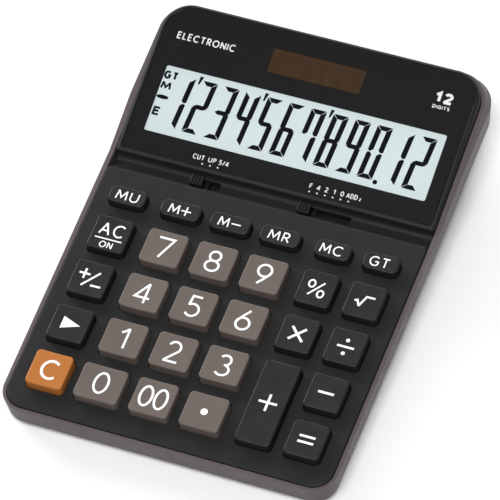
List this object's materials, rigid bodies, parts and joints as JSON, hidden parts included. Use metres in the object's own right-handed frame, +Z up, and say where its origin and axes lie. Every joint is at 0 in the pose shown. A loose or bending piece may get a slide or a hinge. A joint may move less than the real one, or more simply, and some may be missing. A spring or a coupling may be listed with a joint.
{
  "type": "desk calculator",
  "caption": "Wedge-shaped desk calculator with a sloping segment display, slide switches and square sprung keys in two nested case halves.",
  "frame": {"origin": "centre of the footprint, on the surface that the rubber feet stand on", "axes": "+X to the user's right, +Y from the front edge to the back, +Z up"},
  "size_m": [0.1306, 0.1777, 0.0326],
  "materials": {
    "case_black": "fine moulded texture",
    "case_brown": "fine moulded texture",
    "key_black": "satin moulded",
    "key_taupe": "satin moulded",
    "key_orange": "satin moulded",
    "knob_black": "satin moulded",
    "window_clear": "polished clear plastic",
    "mask_black": "printed film",
    "lcd_glass": "polarised glass",
    "lcd_film": "reflective film",
    "frame_black": "moulded",
    "ribbon_film": "polyester film",
    "solar_brown": "glass over amorphous silicon",
    "wire_insulation": "extruded",
    "board_laminate": "solder mask",
    "chip_epoxy": "cured drop",
    "component_ceramic": "fired",
    "screw_steel": "zinc plated",
    "mat_rubber": "moulded silicone",
    "pill_carbon": "carbon filled",
    "cell_steel": "nickel plated",
    "contact_spring": "nickel plated spring strip",
    "foot_rubber": "moulded"
  },
  "bodies": {
    "case": {"battery_contact_negative": "contact_spring", "battery_contact_positive": "contact_spring", "battery_cover": "case_brown", "battery_cover_screw": "screw_steel", "battery_wires": "wire_insulation", "button_cell": "cell_steel", "case_screws": "screw_steel", "chip_glob": "chip_epoxy", "display_window": "window_clear", "key_contact_pills": "pill_carbon", "lcd_cell": "lcd_glass", "lcd_frame": "frame_black", "lcd_heat_seal": "ribbon_film", "lcd_reflector": "lcd_film", "lower_case": "case_brown", "main_pcb": "board_laminate", "pcb_components": "component_ceramic", "pcb_screws": "screw_steel", "rubber_feet": "foot_rubber", "rubber_key_mat": "mat_rubber", "solar_cell": "solar_brown", "solar_wires": "wire_insulation", "upper_case": "case_black", "window_mask": "mask_black"},
    "key_mu": {"key_mu": "key_black"},
    "key_m_plus": {"key_m_plus": "key_black"},
    "key_m_minus": {"key_m_minus": "key_black"},
    "key_mr": {"key_mr": "key_black"},
    "key_mc": {"key_mc": "key_black"},
    "key_gt": {"key_gt": "key_black"},
    "key_ac_on": {"key_ac_on": "key_black"},
    "key_percent": {"key_percent": "key_black"},
    "key_sqrt": {"key_sqrt": "key_black"},
    "key_sign": {"key_sign": "key_black"},
    "key_times": {"key_times": "key_black"},
    "key_divide": {"key_divide": "key_black"},
    "key_backspace": {"key_backspace": "key_black"},
    "key_plus": {"key_plus": "key_black"},
    "key_minus": {"key_minus": "key_black"},
    "key_equals": {"key_equals": "key_black"},
    "key_7": {"key_7": "key_taupe"},
    "key_8": {"key_8": "key_taupe"},
    "key_9": {"key_9": "key_taupe"},
    "key_4": {"key_4": "key_taupe"},
    "key_5": {"key_5": "key_taupe"},
    "key_6": {"key_6": "key_taupe"},
    "key_1": {"key_1": "key_taupe"},
    "key_2": {"key_2": "key_taupe"},
    "key_3": {"key_3": "key_taupe"},
    "key_0": {"key_0": "key_taupe"},
    "key_00": {"key_00": "key_taupe"},
    "key_point": {"key_point": "key_taupe"},
    "key_clear": {"key_clear": "key_orange"},
    "rounding_switch": {"rounding_switch_knob": "knob_black", "rounding_switch_wiper": "contact_spring"},
    "decimal_switch": {"decimal_switch_knob": "knob_black", "decimal_switch_wiper": "contact_spring"}
  },
  "joints": [
    {"name": "key_mu_press", "type": "slide", "parent": "case", "child": "key_mu", "axis": [0, 0.0436, -0.999], "range_m": [0, 0.0014], "stiffness_N_per_m": 400, "springref_m": -0.0005, "deforming": ["rubber_key_mat", "key_contact_pills"]},
    {"name": "key_m_plus_press", "type": "slide", "parent": "case", "child": "key_m_plus", "axis": [0, 0.0436, -0.999], "range_m": [0, 0.0014], "stiffness_N_per_m": 400, "springref_m": -0.0005},
    {"name": "key_m_minus_press", "type": "slide", "parent": "case", "child": "key_m_minus", "axis": [0, 0.0436, -0.999], "range_m": [0, 0.0014], "stiffness_N_per_m": 400, "springref_m": -0.0005},
    {"name": "key_mr_press", "type": "slide", "parent": "case", "child": "key_mr", "axis": [0, 0.0436, -0.999], "range_m": [0, 0.0014], "stiffness_N_per_m": 400, "springref_m": -0.0005},
    {"name": "key_mc_press", "type": "slide", "parent": "case", "child": "key_mc", "axis": [0, 0.0436, -0.999], "range_m": [0, 0.0014], "stiffness_N_per_m": 400, "springref_m": -0.0005},
    {"name": "key_gt_press", "type": "slide", "parent": "case", "child": "key_gt", "axis": [0, 0.0436, -0.999], "range_m": [0, 0.0014], "stiffness_N_per_m": 400, "springref_m": -0.0005},
    {"name": "key_ac_on_press", "type": "slide", "parent": "case", "child": "key_ac_on", "axis": [0, 0.0436, -0.999], "range_m": [0, 0.0014], "stiffness_N_per_m": 400, "springref_m": -0.0005},
    {"name": "key_percent_press", "type": "slide", "parent": "case", "child": "key_percent", "axis": [0, 0.0436, -0.999], "range_m": [0, 0.0014], "stiffness_N_per_m": 400, "springref_m": -0.0005},
    {"name": "key_sqrt_press", "type": "slide", "parent": "case", "child": "key_sqrt", "axis": [0, 0.0436, -0.999], "range_m": [0, 0.0014], "stiffness_N_per_m": 400, "springref_m": -0.0005},
    {"name": "key_sign_press", "type": "slide", "parent": "case", "child": "key_sign", "axis": [0, 0.0436, -0.999], "range_m": [0, 0.0014], "stiffness_N_per_m": 400, "springref_m": -0.0005},
    {"name": "key_times_press", "type": "slide", "parent": "case", "child": "key_times", "axis": [0, 0.0436, -0.999], "range_m": [0, 0.0014], "stiffness_N_per_m": 400, "springref_m": -0.0005},
    {"name": "key_divide_press", "type": "slide", "parent": "case", "child": "key_divide", "axis": [0, 0.0436, -0.999], "range_m": [0, 0.0014], "stiffness_N_per_m": 400, "springref_m": -0.0005},
    {"name": "key_backspace_press", "type": "slide", "parent": "case", "child": "key_backspace", "axis": [0, 0.0436, -0.999], "range_m": [0, 0.0014], "stiffness_N_per_m": 400, "springref_m": -0.0005},
    {"name": "key_plus_press", "type": "slide", "parent": "case", "child": "key_plus", "axis": [0, 0.0436, -0.999], "range_m": [0, 0.0014], "stiffness_N_per_m": 400, "springref_m": -0.0005},
    {"name": "key_minus_press", "type": "slide", "parent": "case", "child": "key_minus", "axis": [0, 0.0436, -0.999], "range_m": [0, 0.0014], "stiffness_N_per_m": 400, "springref_m": -0.0005},
    {"name": "key_equals_press", "type": "slide", "parent": "case", "child": "key_equals", "axis": [0, 0.0436, -0.999], "range_m": [0, 0.0014], "stiffness_N_per_m": 400, "springref_m": -0.0005},
    {"name": "key_7_press", "type": "slide", "parent": "case", "child": "key_7", "axis": [0, 0.0436, -0.999], "range_m": [0, 0.0014], "stiffness_N_per_m": 400, "springref_m": -0.0005},
    {"name": "key_8_press", "type": "slide", "parent": "case", "child": "key_8", "axis": [0, 0.0436, -0.999], "range_m": [0, 0.0014], "stiffness_N_per_m": 400, "springref_m": -0.0005},
    {"name": "key_9_press", "type": "slide", "parent": "case", "child": "key_9", "axis": [0, 0.0436, -0.999], "range_m": [0, 0.0014], "stiffness_N_per_m": 400, "springref_m": -0.0005},
    {"name": "key_4_press", "type": "slide", "parent": "case", "child": "key_4", "axis": [0, 0.0436, -0.999], "range_m": [0, 0.0014], "stiffness_N_per_m": 400, "springref_m": -0.0005},
    {"name": "key_5_press", "type": "slide", "parent": "case", "child": "key_5", "axis": [0, 0.0436, -0.999], "range_m": [0, 0.0014], "stiffness_N_per_m": 400, "springref_m": -0.0005},
    {"name": "key_6_press", "type": "slide", "parent": "case", "child": "key_6", "axis": [0, 0.0436, -0.999], "range_m": [0, 0.0014], "stiffness_N_per_m": 400, "springref_m": -0.0005},
    {"name": "key_1_press", "type": "slide", "parent": "case", "child": "key_1", "axis": [0, 0.0436, -0.999], "range_m": [0, 0.0014], "stiffness_N_per_m": 400, "springref_m": -0.0005},
    {"name": "key_2_press", "type": "slide", "parent": "case", "child": "key_2", "axis": [0, 0.0436, -0.999], "range_m": [0, 0.0014], "stiffness_N_per_m": 400, "springref_m": -0.0005},
    {"name": "key_3_press", "type": "slide", "parent": "case", "child": "key_3", "axis": [0, 0.0436, -0.999], "range_m": [0, 0.0014], "stiffness_N_per_m": 400, "springref_m": -0.0005},
    {"name": "key_0_press", "type": "slide", "parent": "case", "child": "key_0", "axis": [0, 0.0436, -0.999], "range_m": [0, 0.0014], "stiffness_N_per_m": 400, "springref_m": -0.0005},
    {"name": "key_00_press", "type": "slide", "parent": "case", "child": "key_00", "axis": [0, 0.0436, -0.999], "range_m": [0, 0.0014], "stiffness_N_per_m": 400, "springref_m": -0.0005},
    {"name": "key_point_press", "type": "slide", "parent": "case", "child": "key_point", "axis": [0, 0.0436, -0.999], "range_m": [0, 0.0014], "stiffness_N_per_m": 400, "springref_m": -0.0005},
    {"name": "key_clear_press", "type": "slide", "parent": "case", "child": "key_clear", "axis": [0, 0.0436, -0.999], "range_m": [0, 0.0014], "stiffness_N_per_m": 400, "springref_m": -0.0005},
    {"name": "rounding_switch_slide", "type": "slide", "parent": "case", "child": "rounding_switch", "axis": [1, 0, 0], "range_m": [0, 0.0061]},
    {"name": "decimal_switch_slide", "type": "slide", "parent": "case", "child": "decimal_switch", "axis": [1, 0, 0], "range_m": [0, 0.01525]}
  ]
}
